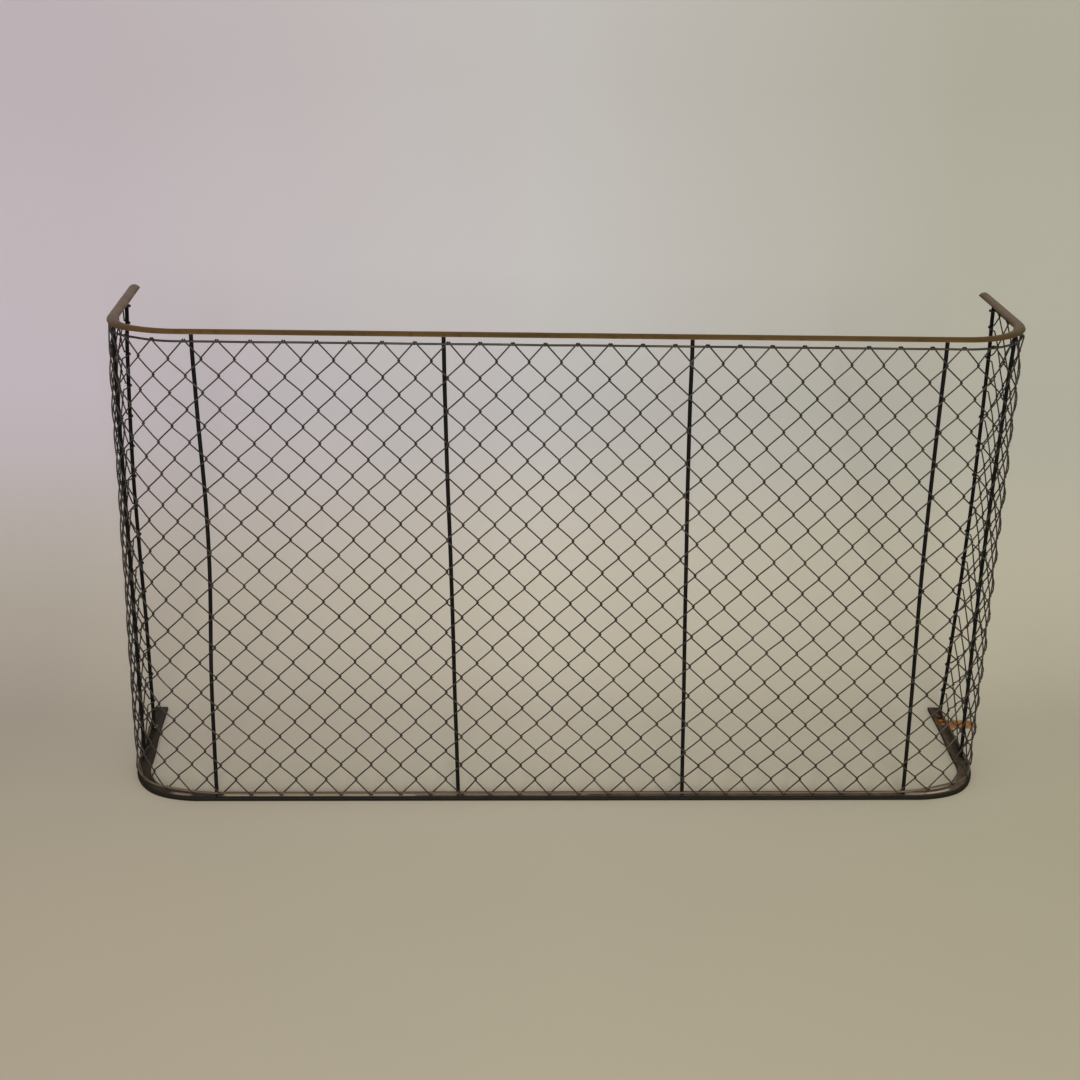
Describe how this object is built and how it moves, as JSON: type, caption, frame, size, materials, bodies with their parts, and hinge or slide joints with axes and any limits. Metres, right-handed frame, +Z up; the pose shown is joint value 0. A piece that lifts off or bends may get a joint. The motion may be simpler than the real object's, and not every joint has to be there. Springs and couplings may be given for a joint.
{
  "type": "fire guard",
  "caption": "Free-standing U-shaped fire guard with a brass-capped top rail, iron rods, an iron bottom rail and diamond wire netting.",
  "frame": {"origin": "middle of the front bottom rail's underside, on the hearth", "axes": "+X along the front from left to right as seen from the room, +Y from the room to the fire, +Z up"},
  "size_m": [1.263, 0.2835, 0.673],
  "materials": {
    "aged_brass": "dull brown brass, unpolished, rubbed brighter on the upper edge",
    "black_iron": "blacked wrought iron",
    "rail_iron": "blacked iron, worn to brown on top",
    "net_wire": "dull oxidised wire",
    "rusted_iron": "rusted"
  },
  "bodies": {
    "root": {"top_rail_brass": "aged_brass", "top_rail_core": "black_iron", "bottom_rail": "rail_iron", "upper_edge_wire": "net_wire", "lower_edge_wire": "net_wire", "front_rod_1": "black_iron", "front_rod_2": "black_iron", "front_rod_3": "black_iron", "front_rod_4": "black_iron", "left_corner_rod": "black_iron", "left_back_rod": "black_iron", "right_corner_rod": "black_iron", "right_back_rod": "black_iron", "net_left": "net_wire", "net_left_corner": "net_wire", "net_front_left": "net_wire", "net_front_right": "net_wire", "net_right_corner": "net_wire", "net_right": "net_wire", "fixing_lug": "rusted_iron", "lug_rivets": "rusted_iron"}
  },
  "joints": []
}
